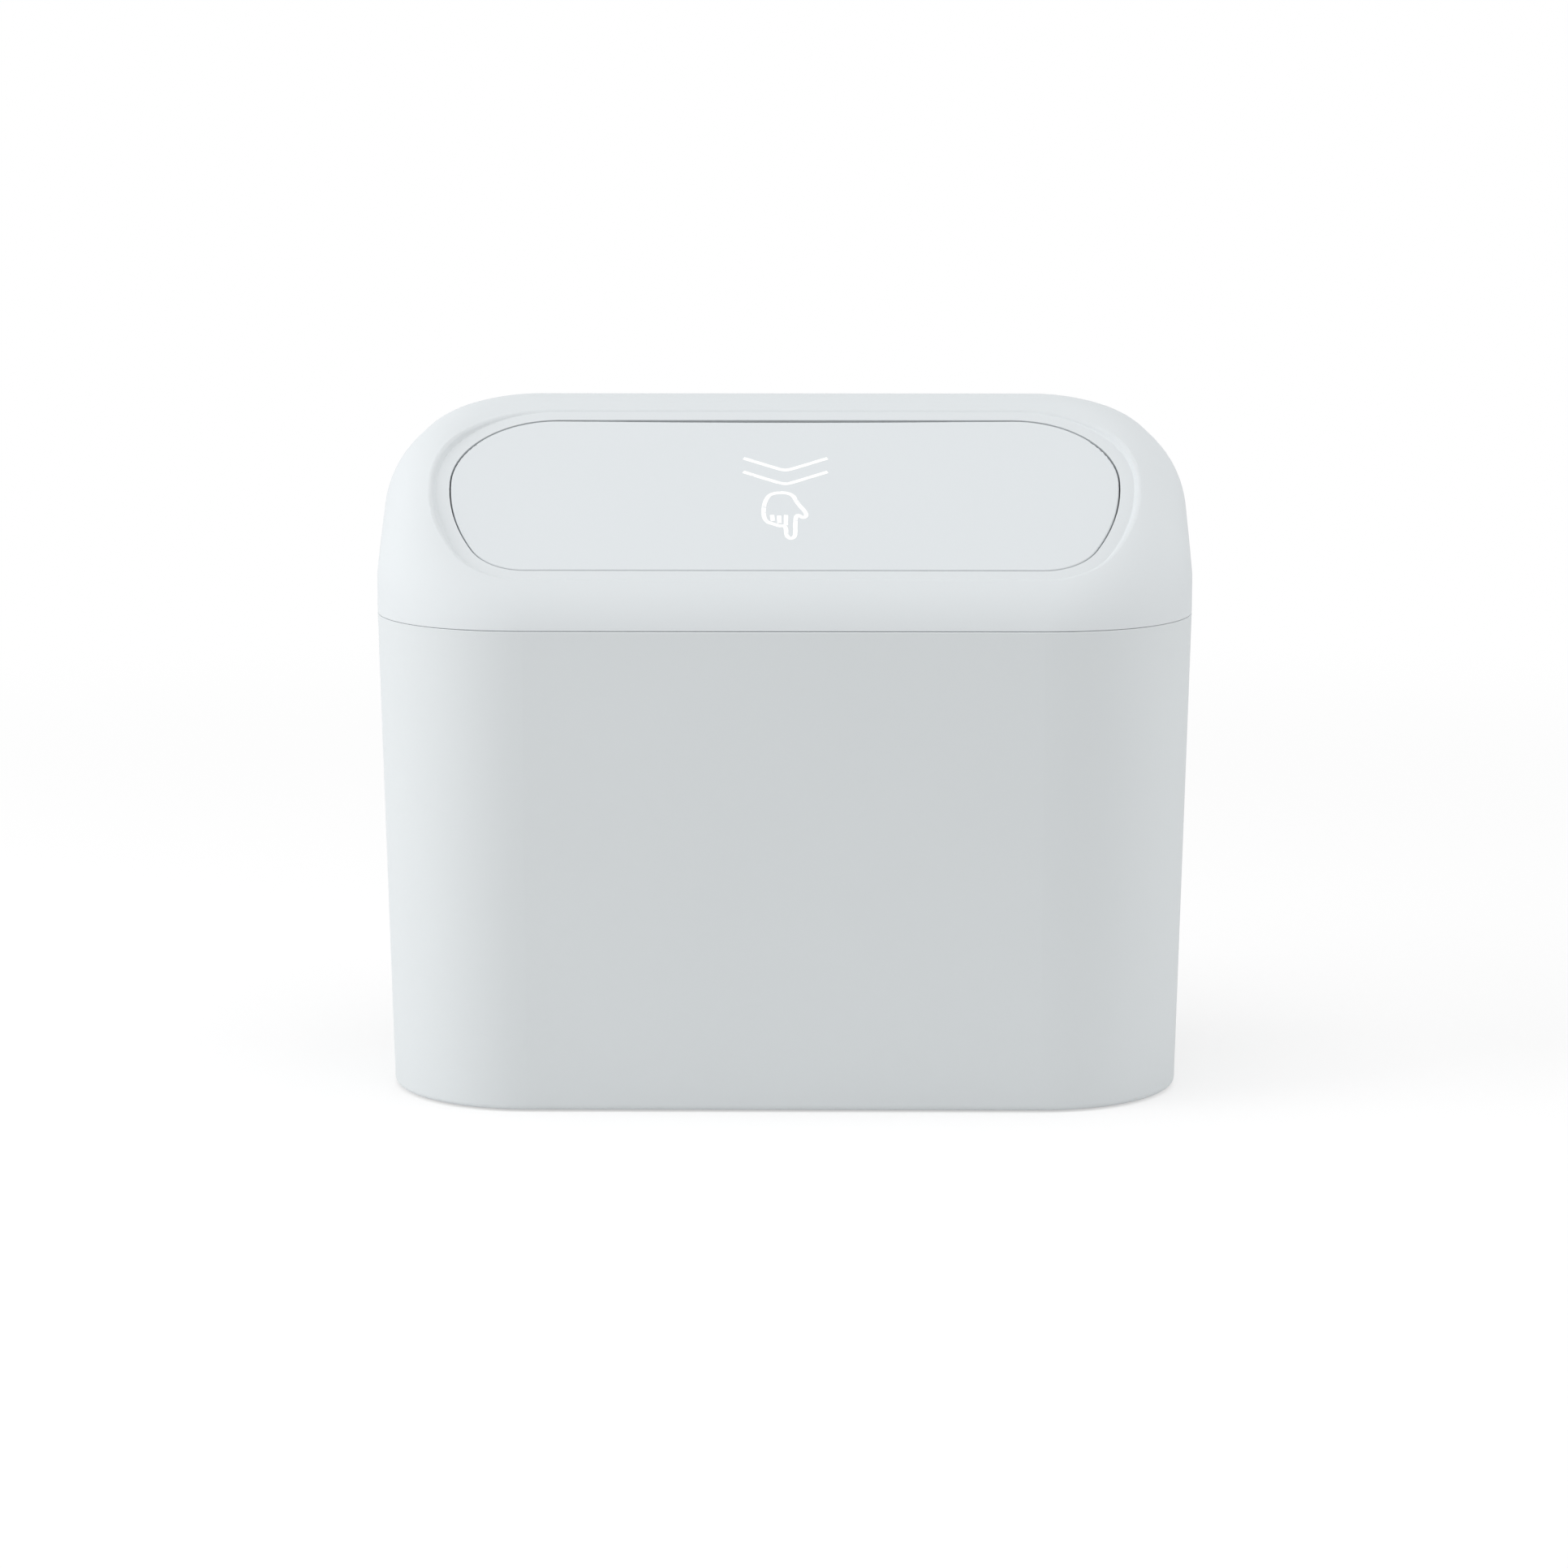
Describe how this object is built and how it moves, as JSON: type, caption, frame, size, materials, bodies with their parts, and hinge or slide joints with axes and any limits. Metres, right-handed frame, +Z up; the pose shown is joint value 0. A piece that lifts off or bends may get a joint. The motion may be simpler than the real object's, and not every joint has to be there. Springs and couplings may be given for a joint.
{
  "type": "car trash can",
  "caption": "Hanging car trash can: drafted oval-cornered tub, lift-off sloped hood lid, sprung push flap in a dished ring, and a slide-in back hook.",
  "frame": {"origin": "middle of the tub's footprint, on the floor under the base pad", "axes": "+Z up; -Y is the plain front, where the flap's slope starts; +Y is the back with the hook; X runs along the long side"},
  "size_m": [0.152, 0.0934, 0.1275],
  "materials": {
    "tub_plastic": "fine matt moulded texture, light cool grey",
    "hood_plastic": "fine matt moulded texture, light cool grey",
    "flap_plastic": "fine matt moulded texture, light cool grey",
    "hook_plastic": "fine matt moulded texture, light cool grey",
    "pad_rubber": "matt soft rubber, grey",
    "seal_rubber": "matt soft rubber, light grey",
    "cushion_rubber": "matt soft rubber, grey",
    "pin_steel": "turned steel pin",
    "spring_steel": "drawn spring wire"
  },
  "bodies": {
    "bin": {"bin_body": "tub_plastic", "base_pad": "pad_rubber"},
    "lid": {"lid_cover": "hood_plastic", "lid_seal": "seal_rubber", "hinge_pin_left": "pin_steel", "hinge_pin_right": "pin_steel", "spring_left": "spring_steel", "spring_right": "spring_steel", "stop_pad_left": "seal_rubber", "stop_pad_right": "seal_rubber"},
    "flap": {"flap_panel": "flap_plastic", "spring_leg_left": "spring_steel", "spring_leg_right": "spring_steel"},
    "hook": {"hanging_hook": "hook_plastic", "hook_cushion": "cushion_rubber"}
  },
  "joints": [
    {"name": "lid_lift", "type": "slide", "parent": "bin", "child": "lid", "axis": [0, 0, 1], "range_m": [0, 0.06]},
    {"name": "flap_hinge", "type": "hinge", "parent": "lid", "child": "flap", "pos_m": [0, 0.01258, 0.11778], "axis": [1, 0, 0], "range_deg": [0, 60], "stiffness_Nm_per_rad": 0.02, "springref_deg": -34.38},
    {"name": "hook_slide", "type": "slide", "parent": "bin", "child": "hook", "axis": [0, 0, 1], "range_m": [0, 0.035]}
  ]
}
